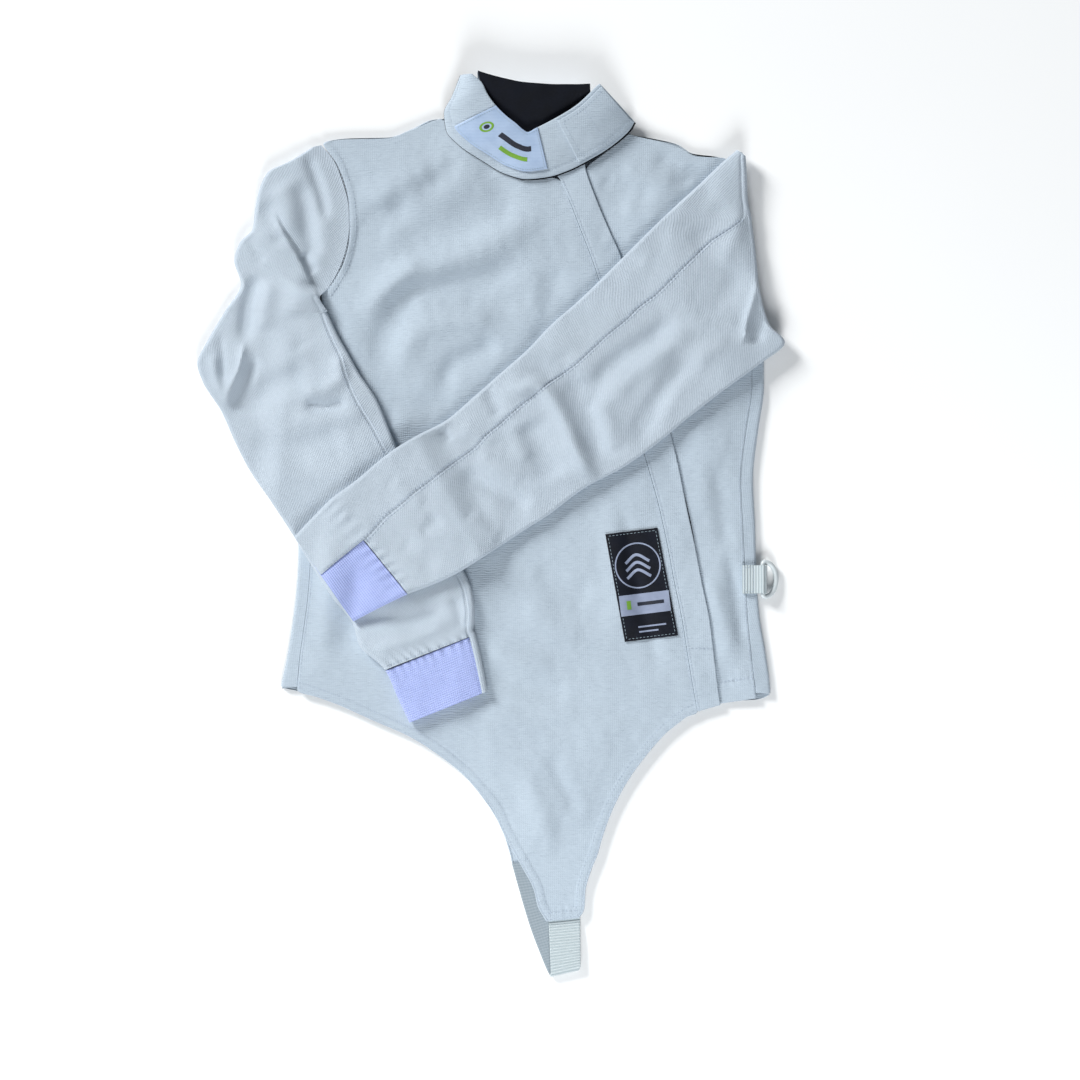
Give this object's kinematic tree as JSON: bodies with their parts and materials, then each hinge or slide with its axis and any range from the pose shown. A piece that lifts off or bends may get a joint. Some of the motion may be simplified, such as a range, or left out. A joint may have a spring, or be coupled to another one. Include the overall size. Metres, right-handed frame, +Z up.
{
  "type": "fencing jacket laid flat with crossed sleeves",
  "caption": "White fencing jacket laid flat, front up, sleeves crossed over the chest, with mandarin collar, fly placket, elastic cuffs, crotch strap and a side D-ring.",
  "frame": {"origin": "centre of the jacket's bounding box, on the surface it lies on", "axes": "+Y from the crotch elastic to the collar, +X to the wearer's left, +Z up out of the jacket's front"},
  "size_m": [0.54, 0.8322, 0.0254],
  "materials": {
    "jacket_cloth": "white crepe-woven cloth, matte",
    "sleeve_cloth": "white double-knit cloth, soft sheen",
    "cuff_knit": "lavender elastic knit, matte",
    "navy_lining": "navy knit lining, matte",
    "black_label": "black woven label with pale border",
    "satin_label": "pale blue satin label",
    "ribbed_webbing": "off-white ribbed webbing",
    "ring_plastic": "off-white moulded plastic"
  },
  "bodies": {
    "jacket": {"back": "jacket_cloth", "front_right": "jacket_cloth", "front_left": "jacket_cloth", "placket": "jacket_cloth", "zip_tape": "navy_lining", "sleeve_right": "sleeve_cloth", "sleeve_strip_right": "sleeve_cloth", "cuff_right": "cuff_knit", "sleeve_left": "sleeve_cloth", "sleeve_strip_left": "sleeve_cloth", "cuff_left": "cuff_knit", "collar_front": "jacket_cloth", "collar_tab": "jacket_cloth", "collar_back": "jacket_cloth", "collar_lining": "navy_lining", "collar_edging": "navy_lining", "collar_label": "satin_label", "front_label": "black_label", "ring_webbing": "ribbed_webbing", "crotch_elastic": "ribbed_webbing"},
    "ring": {"d_ring": "ring_plastic"}
  },
  "joints": [
    {"name": "ring_hinge", "type": "hinge", "parent": "jacket", "child": "ring", "pos_m": [0.25, -0.0505, 0.0076], "axis": [0, -1, 0], "range_deg": [0, 140]}
  ]
}
